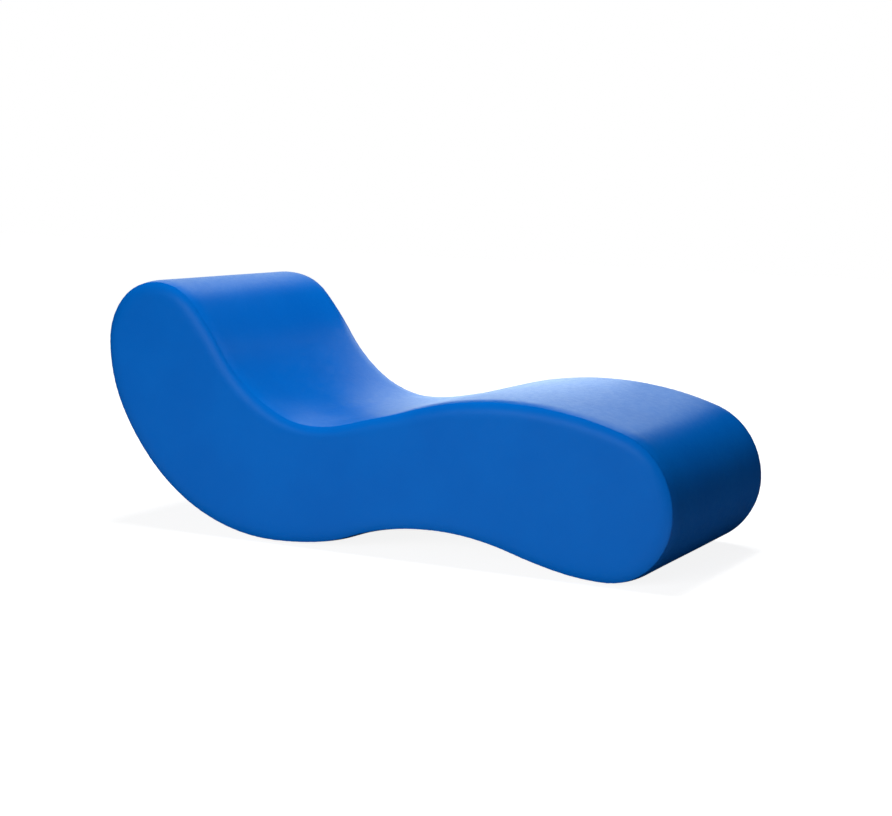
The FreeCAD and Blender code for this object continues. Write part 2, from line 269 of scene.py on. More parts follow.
def mesh_piece(name, points, quads, triangles):
    """A smooth-shaded object at the origin, its faces turned outward.

    The signed volume is positive when the faces point outward.
    """
    volume = signed_volume(points, quads) + signed_volume(points, triangles)
    if volume < 0:
        quads = quads[:, ::-1]
        triangles = triangles[:, ::-1]
    corners = np.concatenate([quads.ravel(), triangles.ravel()])
    sizes = np.concatenate([np.full(len(quads), 4), np.full(len(triangles), 3)])
    starts = np.cumsum(sizes) - sizes
    mesh = bpy.data.meshes.new(name)
    mesh.vertices.add(len(points))
    mesh.vertices.foreach_set("co", points.astype(np.float32).ravel())
    mesh.loops.add(len(corners))
    mesh.loops.foreach_set("vertex_index", corners.astype(np.int32))
    mesh.polygons.add(len(sizes))
    mesh.polygons.foreach_set("loop_start", starts.astype(np.int32))
    mesh.polygons.foreach_set("loop_total", sizes.astype(np.int32))
    mesh.polygons.foreach_set("use_smooth", np.ones(len(sizes), dtype=bool))
    mesh.update(calc_edges=True)
    if mesh.validate():
        raise RuntimeError(name + " has faces that had to be mended")
    mesh.set_sharp_from_angle(angle=math.radians(crease_angle))
    piece = bpy.data.objects.new(name, mesh)
    bpy.context.scene.collection.objects.link(piece)
    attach(piece, body_root)
    print(name, "faces", len(sizes), "litres", round(abs(volume) * 1000, 2))
    return piece


print("pieces ride on the body", body_root)

# %% [markdown]
# Each piece is a thin or thick shell between an outer grid of points and an
# inner grid of the same size. Solidify could thicken a single sheet, but the
# grids give each wall its own exact place. One function turns two grids into a
# closed mesh: outer faces, inner faces the other way round, and walls along
# each open border.

# %% Closed shells between two grids
no_triangles = np.zeros((0, 3), dtype=int)


def grid_faces(rows, columns, wrap_rows, first_index):
    """Quads of a grid whose vertices are numbered row by row.

    Each quad joins a point, the next one across, that one's successor in the
    next row, and the point's own successor.
    """
    row_count = rows if wrap_rows else rows - 1
    row, column = np.meshgrid(np.arange(row_count), np.arange(columns - 1), indexing="ij")
    below = (row + 1) % rows
    quads = np.stack(
        [row * columns + column, row * columns + column + 1,
         below * columns + column + 1, below * columns + column], axis=-1)
    return quads.reshape(-1, 4) + first_index


def border_faces(path, inner_shift, closed):
    """Quads between a border of the outer grid and the same border of the inner one.

    Each quad joins a point, its inner twin, the next twin and the next point.
    """
    ahead = np.roll(path, -1) if closed else path[1:]
    here = path if closed else path[:-1]
    return np.column_stack([here, here + inner_shift, ahead + inner_shift, ahead])


def shell_mesh(name, outer, inner):
    """A closed mesh between two grids of shape rows, columns, 3, with a wall on each border."""
    rows, columns = outer.shape[:2]
    count = rows * columns
    number = np.arange(count).reshape(rows, columns)
    quads = [grid_faces(rows, columns, False, 0)]
    quads.append(grid_faces(rows, columns, False, count)[:, ::-1])
    quads.append(border_faces(number[:, 0], count, False)[:, ::-1])
    quads.append(border_faces(number[:, -1], count, False))
    quads.append(border_faces(number[0], count, False))
    quads.append(border_faces(number[-1], count, False)[:, ::-1])
    points = np.concatenate([outer.reshape(-1, 3), inner.reshape(-1, 3)])
    return mesh_piece(name, points, np.concatenate(quads), no_triangles)


print("a sheet of 3 by 3 points has", len(grid_faces(3, 3, False, 0)), "faces")

# %% [markdown]
# ## How the cover lies
# The leatherette is pulled tight, so it follows the foam closely. Three things
# still show. Each side seam lies half way round the foam's soft edge, so the
# long panel rolls down towards it over a few centimetres. Across the hollow of
# the seat the pull from both ends draws the edges down, as on a saddle. And the
# sewn edges are never quite even. Cloth simulation is the way to a loose cushion,
# but a tight sheet over firm foam has no fold to find. As heights over the
# outline, given by share of the way round and distance across, every panel and
# the foam under it can share these three.

# %% Roll and saddle
seam_across = 350 * millimetre
seam_drop = 4.4 * millimetre
roll_reach = 46 * millimetre
roll_power = 2.2
saddle_drops = {1: 13.5 * millimetre, 2: 5 * millimetre}
saddle_middle = -155 * millimetre
saddle_reach = 165 * millimetre
saddle_across = 130 * millimetre


def ease(value):
    """0 below 0, 1 above 1, and between them 3 v^2 - 2 v^3."""
    value = np.clip(value, 0.0, 1.0)
    return value * value * (3 - 2 * value)


def saddle(shares, side):
    """How far an edge of the hollow is drawn down: a squared cosine about the seat, on top only.

    Side 1 is the right side, which the picture shows, and side 2 the left.
    """
    points, normals = at_shares(body_outline, shares)
    bell = np.cos(np.clip((points[..., 0] - saddle_middle) / saddle_reach, -1, 1) * np.pi / 2) ** 2
    return saddle_drops[side] * bell * ease(normals[..., 1] * 2)


def roll_down(across):
    """Depth of the long panel's roll towards a seam: a power of the share still to go."""
    from_seam = np.maximum(seam_across - np.abs(across), 0.0)
    return seam_drop * np.maximum(1 - from_seam / roll_reach, 0.0) ** roll_power


print("seams lie", seam_drop * 1000, "mm down, saddle edges drop", saddle_drops)

# %% [markdown]
# A seam gathers the sheet in small puckers, no two alike. A noise texture could
# displace them, but its ends wouldn't meet once round the outline. A sum of
# cosines with whole numbers of waves closes on itself, and fixed seeds give the
# same puckers on each run.

# %% Puckers
pucker_height = 0.3 * millimetre
pucker_reach = 14 * millimetre
pucker_least_reach = 4 * millimetre
pucker_waves = (14 * millimetre, 50 * millimetre)
reach_waves = (80 * millimetre, 400 * millimetre)


def ripple(shares, shortest, longest, seed):
    """An uneven wave round the outline, that mostly stays between -1 and 1.

    A sum of cosines of whole numbers of waves once round, each with its own
    fixed phase, so that it closes on itself.
    """
    chance = np.random.default_rng(seed)
    counts = np.arange(round(perimeter / longest), round(perimeter / shortest))
    phase = chance.uniform(0, 2 * np.pi, len(counts))
    weight = chance.normal(0, 1, len(counts))
    spectrum = np.zeros(outline_samples // 2 + 1, dtype=complex)
    spectrum[counts] = weight * np.exp(1j * phase)
    wave = np.fft.irfft(spectrum, outline_samples)
    wave = wave / wave.std() / 2
    grid = np.arange(outline_samples + 1) / outline_samples
    return np.interp(np.mod(shares, 1.0), grid, np.append(wave, wave[0]))


def puckers(shares, from_seam, side, seed):
    """Small gathers beside a seam: short waves at the seam that fade away from it.

    They reach further where a second, longer wave is high.
    """
    reach = pucker_reach * (1 + 0.5 * ripple(shares, *reach_waves, seed + side))
    wave = ripple(shares, *pucker_waves, seed + 10 + side)
    return pucker_height * wave * np.exp(-(from_seam / np.maximum(reach, pucker_least_reach)) ** 2)


print("puckers", pucker_height * 1000, "mm high, reaching", pucker_reach * 1000, "mm from a seam")

# %% [markdown]
# Together these give one height for the long panel's outside. Far from the
# seams the sheet isn't a perfect roll either, because foam is cut and glued by
# hand, so two long faint waves cross it.

# %% Height of the long panel
unevenness = 0.3 * millimetre
first_faint_waves = (120 * millimetre, 900 * millimetre)
second_faint_waves = (100 * millimetre, 700 * millimetre)


def panel_height(shares, across):
    """Height of the long panel's outside over the outline.

    It rolls down to the seams, drops at the edges of the seat, and carries the
    puckers and a faint unevenness.
    """
    from_seam = np.maximum(seam_across - np.abs(across), 0.0)
    edge = ease((np.abs(across) - seam_across + saddle_across) / saddle_across)
    faint = unevenness * ripple(shares, *first_faint_waves, 3) * np.cos(across * 9)
    faint = faint + unevenness * ripple(shares, *second_faint_waves, 4) * np.sin(across * 13 + 1)
    right = puckers(shares, from_seam, 1, 21) - saddle(shares, 1) * edge
    left = puckers(shares, from_seam, 2, 21) - saddle(shares, 2) * edge
    return np.where(across < 0, right, left) - roll_down(across) + faint


print("height at the middle of the seat", float(panel_height(body_share["seat"], 0.0)) * 1000, "mm")

# %% [markdown]
# ## The long panel and the base panel
# One sheet of leatherette runs from under the arch, round the foot end, over
# the knees, the seat and the backrest, round the head end and back under. A
# short one closes the arch. Both are strips: the outline carried straight
# across. Columns of the grid crowd together near the seams, where the height
# changes fast.

# %% Long panel and base panel
leatherette = 1.8 * millimetre
tuck_depth = 3 * millimetre
tuck_width = 0.8 * millimetre
end_tuck_share = 0.6
edge_reach = 60 * millimetre
edge_columns = 20
middle_columns = 26
crowding_power = 2.2


def across_columns():
    """Distances across, from one seam to the other, crowded near both seams.

    Near a seam, the way still to go is the reach times a power of the share left.
    """
    start = seam_across - edge_reach
    edge = seam_across - edge_reach * (1 - np.linspace(0, 1, edge_columns)) ** crowding_power
    middle = np.linspace(-start, start, middle_columns)[1:-1]
    return np.concatenate([-edge[::-1], middle, edge])


def laid_out(points, normals, height, across):
    """Points of an outline, moved out along their normals by a height, and set across."""
    place = points + normals * height[..., None]
    side = np.broadcast_to(across, place.shape[:2])
    return np.stack([place[..., 0], side, place[..., 1]], axis=-1)


def strip(name, first, last, rows):
    """One panel between two stations, from seam to seam, as a closed thin shell.

    Each point is the outline's, moved out along its normal by the height. The
    sewn edges are tucked in, by a bell curve of the distance from each edge.
    """
    begin = body_share[first]
    end = body_share[last] + (body_share[last] < begin)
    shares = np.linspace(begin, end, rows)[:, None]
    across = across_columns()[None, :]
    points, normals = at_shares(body_outline, shares + 0 * across)
    height = panel_height(shares, across)
    tuck = tuck_depth * np.exp(-((seam_across - np.abs(across)) / tuck_width) ** 2)
    from_end = np.minimum(shares - begin, end - shares) * perimeter
    end_tuck = end_tuck_share * tuck_depth * np.exp(-(from_end / tuck_width / 2) ** 2)
    tuck = np.maximum(tuck, end_tuck)
    outer = laid_out(points, normals, height - tuck, across)
    inner = laid_out(points, normals, height - (tuck + leatherette), across)
    return shell_mesh(name, outer, inner)


long_panel = strip("long_panel", "arch_end", "arch_start", rows=760)
base_panel = strip("base_panel", "arch_start", "arch_end", rows=110)
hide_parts("lying_cover")
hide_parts("base_cover")

# %% [markdown]
# ## The side panels
# Each side panel is one flat sheet cut to the outline. It comes up out of the
# seam, folds over tightly and rolls down onto the flat side. A flat n-gon with
# a bevel has one radius all the way, but foam under a tight sheet bends most at
# the seam and less and less away from it. So the section is drawn by its
# direction: the angle of its outward side above the level, for each step along
# it. The section is then carried round the outline as a ring, and the field
# inside is filled by straight lines from the ring's lower half to its upper half.

# %% Sections of the rim
section_depth = 60 * millimetre
rise = 2 * millimetre
fold = 2.6 * millimetre
roll_angle = 40
roll_length = 50 * millimetre
roll_easing = 1.8
section_step = 0.05 * millimetre


def side_section():
    """The side panel's section: distance across, and depth below the outline.

    The angle is 180 degrees on the way up out of the seam, eases to the roll's
    first angle in the fold, and then falls to nothing as a power of the share
    still to go. A step goes across by the sine of the angle, and down by its cosine.
    """
    along = np.arange(0, rise + fold + section_depth + 5 * millimetre, section_step)
    folded = 180 + (roll_angle - 180) * ease((along - rise) / fold)
    rolled = roll_angle * (1 - np.clip((along - rise - fold) / roll_length, 0, 1)) ** roll_easing
    angle = np.radians(np.where(along < rise + fold, folded, rolled))
    across = np.cumsum(np.sin(angle)) * section_step
    depth = np.cumsum(np.cos(angle)) * section_step
    depth = depth - depth.min() + seam_drop
    flat = rise + fold + (section_depth - seam_drop) * np.linspace(0, 1, 17)[1:] ** 1.5
    stops = np.concatenate([np.linspace(0, rise, 4)[:-1], rise + np.linspace(0, fold, 10), flat])
    return seam_across + np.interp(stops, along, across), np.interp(stops, along, depth)


def section_normals(across, depth):
    """Outward unit normals of a section: the run along it, turned by a quarter."""
    run = np.gradient(across)
    fall = np.gradient(depth)
    length = np.hypot(run, fall)
    return fall / length, run / length


side_across = side_section()[0][-1]
print("flat sides at", round(side_across * 1000, 1), "mm from the middle")

# %% [markdown]
# Where the saddle of the seat draws the rim down, the pull fades towards the
# flat side, so the field keeps still. The puckers lie along the section's own
# outward direction, which turns from up to sideways over the edge. A curve
# object with a bevel profile could carry the section too, but not these changes.

# %% Ring of a side
ring_rows = 960
ring_start = 0.045
side_shares = ring_start + np.arange(ring_rows) / ring_rows


def ring_grid(shares, section, sheet_depth, side):
    """The section carried round the outline, pushed in by the sheet's depth.

    A point goes down the outline's normal by its depth and by the saddle, and
    then along the section's own normal by the puckers less the sheet's depth.
    """
    across, depth = section
    out_across, out_height = section_normals(across, depth)
    along = np.concatenate([[0.0], np.cumsum(np.hypot(np.diff(across), np.diff(depth)))])
    drawn = saddle(shares, side)[:, None] * (1 - ease(depth / section_depth))[None, :]
    push = puckers(shares[:, None], along[None, :], side, 41) - sheet_depth
    points, normals = at_shares(body_outline, shares[:, None] + 0 * depth[None, :])
    height = out_height[None, :] * push - depth[None, :] - drawn
    return laid_out(points, normals, height, across[None, :] + out_across[None, :] * push)


print("a ring has", ring_rows, "by", len(side_section()[0]), "points")

# %% [markdown]
# The flat field inside the ring could be one n-gon, but Blender would cut it
# into long slivers that shade badly. A ladder of straight lines from the ring's
# lower half to its upper half has even quads, and needs only a fan at each end.
# The field bulges very slightly, by an easing curve of the distance to the ring,
# blurred a little because that distance has creases midway.

# %% Field of a side
field_bulge = 1.5 * millimetre
bulge_reach = 110 * millimetre
bulge_blurs = 30
field_columns = 22


def field_grid(ring_edge, columns):
    """Straight lines between the lower and the upper half of the ring's inner edge.

    The bulge is an easing curve of the distance to the nearest point of the
    ring. Each blur gives every inner point the mean of its four neighbours.
    """
    half = len(ring_edge) // 2
    lower = ring_edge[1:half, None, :]
    upper = ring_edge[:half:-1, None, :]
    share = np.linspace(0, 1, columns)[None, :, None]
    field = lower * (1 - share) + upper * share
    flat = field[..., [0, 2]].reshape(-1, 2)
    border = ring_edge[:, [0, 2]]
    squares = (flat ** 2).sum(-1)[:, None] + (border ** 2).sum(-1) - 2 * flat @ border.T
    gap = np.sqrt(np.maximum(squares.min(1), 0.0)).reshape(field.shape[:2])
    bulge = field_bulge * ease(gap / bulge_reach)
    for _ in range(bulge_blurs):
        around = bulge[:-2, 1:-1] + bulge[2:, 1:-1] + bulge[1:-1, :-2] + bulge[1:-1, 2:]
        bulge[1:-1, 1:-1] = around / 4
    field[..., 1] += bulge
    return field


def side_points(section, sheet_depth, side):
    """All points of one side's surface, the ring's first and then the field's."""
    ring = ring_grid(side_shares, section, sheet_depth, side)
    field = field_grid(ring[:, -1], field_columns)
    return np.concatenate([ring.reshape(-1, 3), field[:, 1:-1].reshape(-1, 3)])


print("the field has", ring_rows // 2 - 1, "by", field_columns, "points")

# %% [markdown]
# Ring and field share the points where they meet, so the surface has no slit
# that light could pass. A merge by distance would do that afterwards. Numbering
# the field's border with the ring's own points does it from the start.

# %% Faces of a side
def side_faces(rows, columns):
    """Quads and triangles of a side: the ring, the field, and a fan at each of its ends.

    The field's first and last columns are the ring's own innermost points.
    """
    half = rows // 2
    first_new = rows * columns
    number = np.zeros((half - 1, field_columns), dtype=int)
    number[:, 1:-1] = first_new + np.arange((half - 1) * (field_columns - 2)).reshape(half - 1, -1)
    number[:, 0] = np.arange(1, half) * columns + columns - 1
    number[:, -1] = np.arange(rows - 1, half, -1) * columns + columns - 1
    inside = np.stack([number[:-1, :-1], number[:-1, 1:], number[1:, 1:], number[1:, :-1]], axis=-1)
    first_pole = np.full(field_columns - 1, columns - 1)
    last_pole = first_pole + half * columns
    first_fan = np.column_stack([number[0, 1:], number[0, :-1], first_pole])
    last_fan = np.column_stack([number[-1, :-1], number[-1, 1:], last_pole])
    quads = np.concatenate([grid_faces(rows, columns, True, 0), inside.reshape(-1, 4)])
    return quads, np.concatenate([first_fan, last_fan])


def side_piece(name, outer, inner, columns, mirrored):
    """A closed mesh between two surfaces of a side, on the left or mirrored to the right."""
    quads, fans = side_faces(ring_rows, columns)
    walls = border_faces(np.arange(ring_rows) * columns, len(outer), True)[:, ::-1]
    quads = np.concatenate([quads, quads[:, ::-1] + len(outer), walls])
    fans = np.concatenate([fans, fans[:, ::-1] + len(outer)])
    points = np.concatenate([outer, inner]) * np.array([1, -1 if mirrored else 1, 1])
    return mesh_piece(name, points, quads, fans)


print("a side has", len(side_faces(ring_rows, len(side_section()[0]))[0]), "quads")

# %% [markdown]
# The two side panels are cut as mirror images. A Mirror modifier would make both
# one piece, and here they are two, each with its own puckers.

# %% Side panels
def side_panel(name, side):
    """The sheet of one side, from the seam over the rim to the whole flat field."""
    section = side_section()
    outer = side_points(section, 0.0, side)
    inner = side_points(section, leatherette, side)
    return side_piece(name, outer, inner, len(section[0]), side == 1)


right_panel = side_panel("right_side_panel", 1)
left_panel = side_panel("left_side_panel", 2)
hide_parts("right_side_cover")
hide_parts("left_side_cover")
covers = [long_panel, base_panel, right_panel, left_panel]

# %% [markdown]
# ## Foam
# Under the cover lies firm foam: six blocks glued to the bent plywood decks,
# and a plate on each side of the frame. None of it shows on a finished lounger,
# but it is what gives the cover its shape, so it follows the panels' inside.
# Boolean cuts of one big body would do. Here each block is again two grids, its
# outside from the cover's own height function and its inside on the deck.

# %% Foam blocks on the decks
glue_gap = 0.4 * millimetre
frame_half_width = 325.2 * millimetre
foam_step = 12 * millimetre
foam_columns = 34


def foam_block(name, first, last):
    """One block between two stations, from the deck out to the inside of the cover.

    Its outside is the outline raised by the panel's height, less the sheet and
    the glue. Its inside is the frame's skin, raised by the glue.
    """
    begin = body_share[first]
    end = body_share[last] + (body_share[last] <= begin)
    skin_begin = skin_share[first]
    skin_end = skin_share[last] + (skin_share[last] <= skin_begin)
    rows = round((end - begin) * perimeter / foam_step)
    shares = np.linspace(begin, end, rows)[:, None]
    skin_shares = np.linspace(skin_begin, skin_end, rows)[:, None]
    across = np.linspace(-frame_half_width, frame_half_width, foam_columns)[None, :]
    outside, out_normal = at_shares(body_outline, shares + 0 * across)
    inside, in_normal = at_shares(skin_outline, skin_shares + 0 * across)
    top = panel_height(shares, across) - leatherette - glue_gap
    outer = laid_out(outside, out_normal, top, across)
    inner = laid_out(inside, in_normal, np.full(top.shape, glue_gap), across)
    block = shell_mesh(name + "_block", outer, inner)
    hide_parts(name)
    return block


foam = [
    foam_block("head_roll_foam", "head_top", "head_slope"),
    foam_block("base_foam", "head_slope", "foot_base"),
    foam_block("foot_roll_foam", "foot_base", "foot_brow"),
    foam_block("leg_foam", "foot_brow", "thigh"),
    foam_block("seat_foam", "thigh", "back"),
    foam_block("back_foam", "back", "head_top"),
]

# %% [markdown]
# The plate on each flank could be a slab with a bevel, but then the panel over it
# would float. So it takes the side panel's own section, moved in by the sheet's
# thickness. At the seam's tucked edges its corner is chamfered, and its back lies
# flat against the frame.

# %% Foam plates on the sides
chamfer = 14 * millimetre
chamfer_inset = 5 * millimetre


def foam_section():
    """The plate's section: under the long panel's edge, a chamfer at the seam, down the side."""
    across, depth = side_section()
    below = depth > chamfer
    under = np.linspace(frame_half_width + glue_gap, seam_across - chamfer_inset, 7)
    return np.concatenate([under, across[below]]), np.concatenate([roll_down(under), depth[below]])


def side_foam(name, side):
    """One side's plate, from the flank of the frame out to the inside of the side panel."""
    section = foam_section()
    outer = side_points(section, leatherette + glue_gap, side)
    back_depth = np.linspace(leatherette + glue_gap, section_depth, len(section[0]))
    back = (np.full(len(back_depth), frame_half_width + glue_gap), back_depth)
    inner = side_points(back, 0.0, side)
    inner[:, 1] = frame_half_width + glue_gap
    plate = side_piece(name + "_plate", outer, inner, len(section[0]), side == 1)
    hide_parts(name)
    return plate


foam.append(side_foam("right_side_foam", 1))
foam.append(side_foam("left_side_foam", 2))

# %% [markdown]
# ## Node groups
# Several finishes need the same effects: a fine pressed grain, a cloudy
# unevenness, the figure of wood. Each is a node group, built once, that puts
# out only heights and masks. The shader stays in each material.

# %% Nodes by name
def add(tree, kind, values=None, **properties):
    """A node of this kind, with its properties set and its inputs given by value or by link."""
    made = tree.nodes.new(kind)
    for name, value in properties.items():
        setattr(made, name, value)
    for name, value in (values or {}).items():
        if isinstance(value, bpy.types.NodeSocket):
            tree.links.new(value, made.inputs[name])
        else:
            made.inputs[name].default_value = value
    return made


def new_group(name, inputs, outputs):
    """A shader node group with these inputs and outputs, and its two end nodes."""
    group = bpy.data.node_groups.new(name, "ShaderNodeTree")
    for title, kind, value in inputs:
        socket = group.interface.new_socket(title, in_out="INPUT", socket_type=kind)
        if value is not None:
            socket.default_value = value
    for title in outputs:
        group.interface.new_socket(title, in_out="OUTPUT", socket_type="NodeSocketFloat")
    start = group.nodes.new("NodeGroupInput")
    end = group.nodes.new("NodeGroupOutput")
    return group, start.outputs, end


def math_node(tree, operation, first, second):
    """The result of one sum on two values or sockets."""
    made = add(tree, "ShaderNodeMath", operation=operation)
    for socket, value in zip(made.inputs, (first, second)):
        if isinstance(value, bpy.types.NodeSocket):
            tree.links.new(value, socket)
        else:
            socket.default_value = value
    return made.outputs[0]


def ranged(tree, value, low, high, to_low, to_high, smooth=False):
    """A value carried from one range to another, held at its ends."""
    kind = "SMOOTHSTEP" if smooth else "LINEAR"
    made = add(tree, "ShaderNodeMapRange", {
        "Value": value, "From Min": low, "From Max": high, "To Min": to_low, "To Max": to_high,
    }, interpolation_type=kind)
    return made.outputs["Result"]


def scaled(tree, vector, factor):
    """A vector times another, axis by axis."""
    made = add(tree, "ShaderNodeVectorMath", operation="MULTIPLY")
    tree.links.new(vector, made.inputs[0])
    made.inputs[1].default_value = factor
    return made.outputs[0]


print("node helpers", [helper.__name__ for helper in (add, new_group, math_node, ranged, scaled)])

# %% [markdown]
# Leatherette is a textile coated with soft vinyl, pressed while warm between
# rollers that leave a grain of small rounded pebbles with creases between them.
# Voronoi cells give the pebbles: the distance to the nearest border between
# cells is zero in a crease and largest on a pebble's top. The place is first
# shaken by a little noise, or the cells would look like crystals.

# %% Pressed grain
def make_pressed_grain():
    """Pebbles and creases from cell borders, and a softer, wider orange-peel wave."""
    group, given, end = new_group(
        "pressed_grain",
        [("Vector", "NodeSocketVector", None), ("Pebbles per metre", "NodeSocketFloat", 600.0)],
        ["Height", "Crease"])
    shake = add(group, "ShaderNodeTexNoise", {"Vector": given["Vector"], "Scale": 900.0, "Detail": 1.0})
    offset = add(group, "ShaderNodeVectorMath", operation="MULTIPLY_ADD")
    group.links.new(shake.outputs["Color"], offset.inputs[0])
    offset.inputs[1].default_value = (0.0008, 0.0008, 0.0008)
    group.links.new(given["Vector"], offset.inputs[2])
    cells = add(group, "ShaderNodeTexVoronoi", {
        "Vector": offset.outputs[0], "Scale": given["Pebbles per metre"],
    }, feature="DISTANCE_TO_EDGE")
    pebble = ranged(group, cells.outputs["Distance"], 0.0, 0.35, 0.0, 1.0, smooth=True)
    peel = add(group, "ShaderNodeTexNoise", {"Vector": given["Vector"], "Scale": 150.0, "Detail": 2.0})
    height = math_node(group, "MULTIPLY", pebble, 0.5)
    height = math_node(group, "ADD", height, peel.outputs["Fac"])
    group.links.new(height, end.inputs["Height"])
    crease = ranged(group, cells.outputs["Distance"], 0.0, 0.12, 1.0, 0.0)
    group.links.new(crease, end.inputs["Crease"])
    return group


def make_clouds():
    """A soft unevenness from 0 to 1: noise of a given size with a little fine detail."""
    group, given, end = new_group(
        "clouds",
        [("Vector", "NodeSocketVector", None), ("Clouds per metre", "NodeSocketFloat", 6.0)],
        ["Amount"])
    noise = add(group, "ShaderNodeTexNoise", {
        "Vector": given["Vector"], "Scale": given["Clouds per metre"], "Detail": 4.0, "Roughness": 0.55,
    })
    amount = ranged(group, noise.outputs["Fac"], 0.3, 0.7, 0.0, 1.0, smooth=True)
    group.links.new(amount, end.inputs["Amount"])
    return group


pressed_grain = make_pressed_grain()
clouds = make_clouds()
print("groups", pressed_grain.name, clouds.name)

# %% [markdown]
# Wood shows its growth rings as long stretched bands, with short dark pores
# between them. A wave texture bent by noise gives the bands, and noise pressed
# flat along the grain gives the pores. The material stretches the vector before
# it reaches the group, so one group serves wood that lies in any direction.

# %% Wood figure
def make_wood_figure():
    """Bands across X of the given vector, and pores as short streaks of fine noise."""
    group, given, end = new_group(
        "wood_figure",
        [("Vector", "NodeSocketVector", None), ("Bands per metre", "NodeSocketFloat", 20.0)],
        ["Band", "Pore"])
    wave = add(group, "ShaderNodeTexWave", {
        "Vector": given["Vector"], "Scale": given["Bands per metre"], "Distortion": 5.0,
        "Detail": 3.0, "Detail Scale": 1.2,
    }, wave_type="BANDS", bands_direction="X")
    group.links.new(wave.outputs["Fac"], end.inputs["Band"])
    fine = add(group, "ShaderNodeTexNoise", {"Vector": given["Vector"], "Scale": 420.0, "Detail": 2.0})
    pore = ranged(group, fine.outputs["Fac"], 0.58, 0.72, 0.0, 1.0)
    group.links.new(pore, end.inputs["Pore"])
    return group


wood_figure = make_wood_figure()
print("group", wood_figure.name)

# %% [markdown]
# Every finish starts from the object's own coordinates, mixes two to four
# colours by masks, and ends in a Principled shader. All but the zinc also bend
# the normal by a height. These few steps are functions, so that each material
# reads as a recipe.

# %% Steps of a finish
def use_group(tree, group, values):
    """This group as a node, its inputs given by value or by link."""
    return add(tree, "ShaderNodeGroup", values, node_tree=group).outputs


def new_material(name):
    """A material with only its output: the tree, the object's own place, and the output."""
    material = bpy.data.materials.new(name)
    material.use_nodes = True
    tree = material.node_tree
    tree.nodes.clear()
    output = tree.nodes.new("ShaderNodeOutputMaterial")
    place = tree.nodes.new("ShaderNodeTexCoord").outputs["Object"]
    return material, tree, place, output


def colour_mix(tree, amount, low, high):
    """A colour between two, by amount."""
    made = add(tree, "ShaderNodeMix", data_type="RGBA")
    tree.links.new(amount, made.inputs["Factor"])
    for socket, value in ((made.inputs[6], low), (made.inputs[7], high)):
        if isinstance(value, bpy.types.NodeSocket):
            tree.links.new(value, socket)
        else:
            socket.default_value = (*value, 1.0)
    return made.outputs[2]


def bumped(tree, height, distance, strength):
    """A normal from a height, where a height of one stands this far out."""
    made = add(tree, "ShaderNodeBump", {"Height": height, "Distance": distance, "Strength": strength})
    return made.outputs["Normal"]


def principled(tree, output, values):
    """A Principled shader with these values, joined to the material's output."""
    shader = add(tree, "ShaderNodeBsdfPrincipled", values)
    tree.links.new(shader.outputs[0], output.inputs["Surface"])


finish_steps = (use_group, new_material, colour_mix, bumped, principled)
print("finish helpers", [step.__name__ for step in finish_steps])

# %% [markdown]
# ## The leatherette
# The real cover is a saturated blue with almost no red in it, satin rather than
# glossy: its side shows no highlight at all, and yet where it is seen at a
# grazing angle it mirrors the bright studio nearly white. That is what Fresnel
# does on any smooth coating, so a plain Principled shader has it. The grain
# only has to be fine, and the colour hardly varies.

# %% Leatherette material
leather_blue = (0.0, 0.115, 0.49)
# A deeper blue, used only as painted shade in the grain's creases.
leather_crease_shade = (0.0, 0.102, 0.45)
leather_rub = (0.0, 0.126, 0.52)


def make_leatherette():
    """Blue vinyl: grain as bump, clouds in the colour, painted shade in the grain's creases, and gloss
    that varies in small clouds.
    """
    material, tree, place, output = new_material("blue_leatherette")
    grain = use_group(tree, pressed_grain, {"Vector": place, "Pebbles per metre": 620.0})
    cloud = use_group(tree, clouds, {"Vector": place, "Clouds per metre": 5.0})
    speck = use_group(tree, clouds, {"Vector": place, "Clouds per metre": 60.0})
    colour = colour_mix(tree, cloud["Amount"], leather_blue, leather_rub)
    # Painted shade: the grain's creases are darkened towards the deeper blue, as if shadow fell into
    # them.
    crease_shaded_colour = colour_mix(tree, math_node(tree, "MULTIPLY", grain["Crease"], 0.6), colour, leather_crease_shade)
    rough = ranged(tree, speck["Amount"], 0.0, 1.0, 0.3, 0.36)
    principled(tree, output, {
        "Base Color": crease_shaded_colour, "Roughness": rough, "IOR": 1.45,
        "Normal": bumped(tree, grain["Height"], 0.0001, 0.8),
    })
    return material


leatherette_blue = make_leatherette()
for panel in covers:
    panel.data.materials.append(leatherette_blue)
print("leatherette on", len(covers), "panels")

# %% [markdown]
# ## Foam, wood, metal and plastic
# Cut foam is a matt, pale yellow solid full of tiny cells. Real cells could be
# modelled only by the million. Small Voronoi cells as bump do it here, with a
# cloudy pale colour and hardly any gloss.

# %% Foam material
def make_foam():
    """Cut foam: cells as bump, a cloudy pale colour, no gloss."""
    material, tree, place, output = new_material("cut_foam")
    cells = add(tree, "ShaderNodeTexVoronoi", {"Vector": place, "Scale": 700.0})
    cloud = use_group(tree, clouds, {"Vector": place, "Clouds per metre": 9.0})
    colour = colour_mix(tree, cloud["Amount"], (0.80, 0.75, 0.56), (0.86, 0.82, 0.66))
    principled(tree, output, {
        "Base Color": colour, "Roughness": 0.95, "Specular IOR Level": 0.2,
        "Normal": bumped(tree, cells.outputs["Distance"], 0.0004, 0.7),
    })
    return material


foam_yellow = make_foam()
for block in foam:
    block.data.materials.append(foam_yellow)
print("foam on", len(foam), "blocks")

# %% [markdown]
# The ribs are birch plywood, whose thin layers show on every cut edge, one light
# and one dark in turn. An image of a board would end at an edge. A sine counted
# across the board runs through the solid, so every cut shows its layers.

# %% Birch plywood material
layers_per_metre = 7 / 0.018


